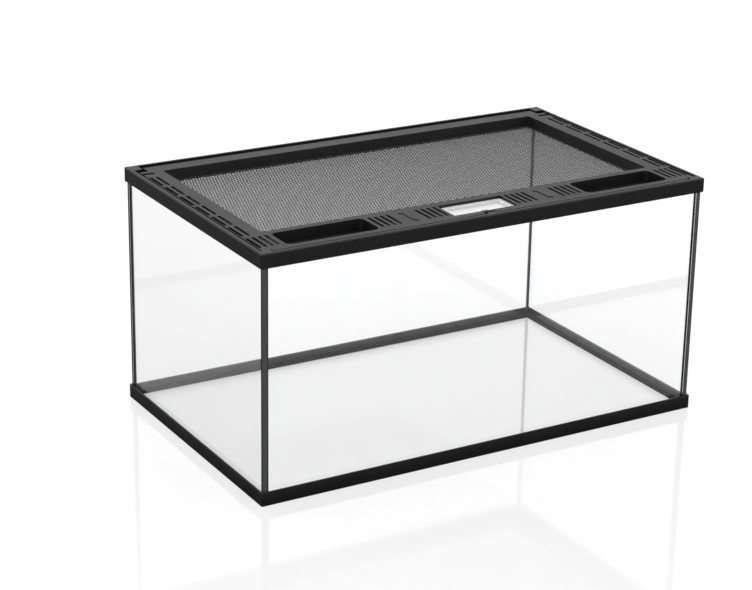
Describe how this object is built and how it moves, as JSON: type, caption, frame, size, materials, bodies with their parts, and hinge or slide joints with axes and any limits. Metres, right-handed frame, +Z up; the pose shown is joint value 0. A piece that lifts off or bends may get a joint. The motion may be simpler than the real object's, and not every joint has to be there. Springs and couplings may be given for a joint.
{
  "type": "hamster cage",
  "caption": "Low glass tank for a hamster, with black plastic frames round its base and rim, and a hinged lid with wire mesh, slots, hand pockets and a clear feed hatch.",
  "frame": {"origin": "on the table, at the centre of the tank's footprint", "axes": "+X to the right along the tank's length, +Y to the back, where the lid's hinge is, +Z up"},
  "size_m": [0.5, 0.3, 0.25],
  "materials": {
    "frame_plastic": "satin moulded",
    "lid_plastic": "fine moulded texture",
    "glass": "clear float glass with ground edges",
    "silicone": "smooth black silicone",
    "mesh_wire": "dark coated wire",
    "clear_plastic": "clear moulded plastic",
    "catch_plastic": "grey moulded plastic"
  },
  "bodies": {
    "tank": {"base_frame": "frame_plastic", "base_bond": "silicone", "floor_glass": "glass", "front_glass": "glass", "back_glass": "glass", "left_glass": "glass", "right_glass": "glass", "corner_seal_front_left": "silicone", "corner_seal_front_right": "silicone", "corner_seal_back_left": "silicone", "corner_seal_back_right": "silicone", "floor_seal_front": "silicone", "floor_seal_back": "silicone", "floor_seal_left": "silicone", "floor_seal_right": "silicone", "rim_bond": "silicone", "top_frame": "frame_plastic"},
    "lid": {"lid_panel": "lid_plastic", "mesh_screen": "mesh_wire", "mesh_retainer": "lid_plastic"},
    "hatch": {"feed_hatch": "clear_plastic"},
    "catch": {"lid_catch": "catch_plastic"}
  },
  "joints": [
    {"name": "lid_hinge", "type": "hinge", "parent": "tank", "child": "lid", "pos_m": [0, 0.1255, 0.2459], "axis": [-1, 0, 0], "range_deg": [0, 110]},
    {"name": "hatch_hinge", "type": "hinge", "parent": "lid", "child": "hatch", "pos_m": [0, -0.1031, 0.246], "axis": [-1, 0, 0], "range_deg": [0, 95]},
    {"name": "catch_slide", "type": "slide", "parent": "lid", "child": "catch", "axis": [0, -1, 0], "range_m": [0, 0.0022]}
  ]
}
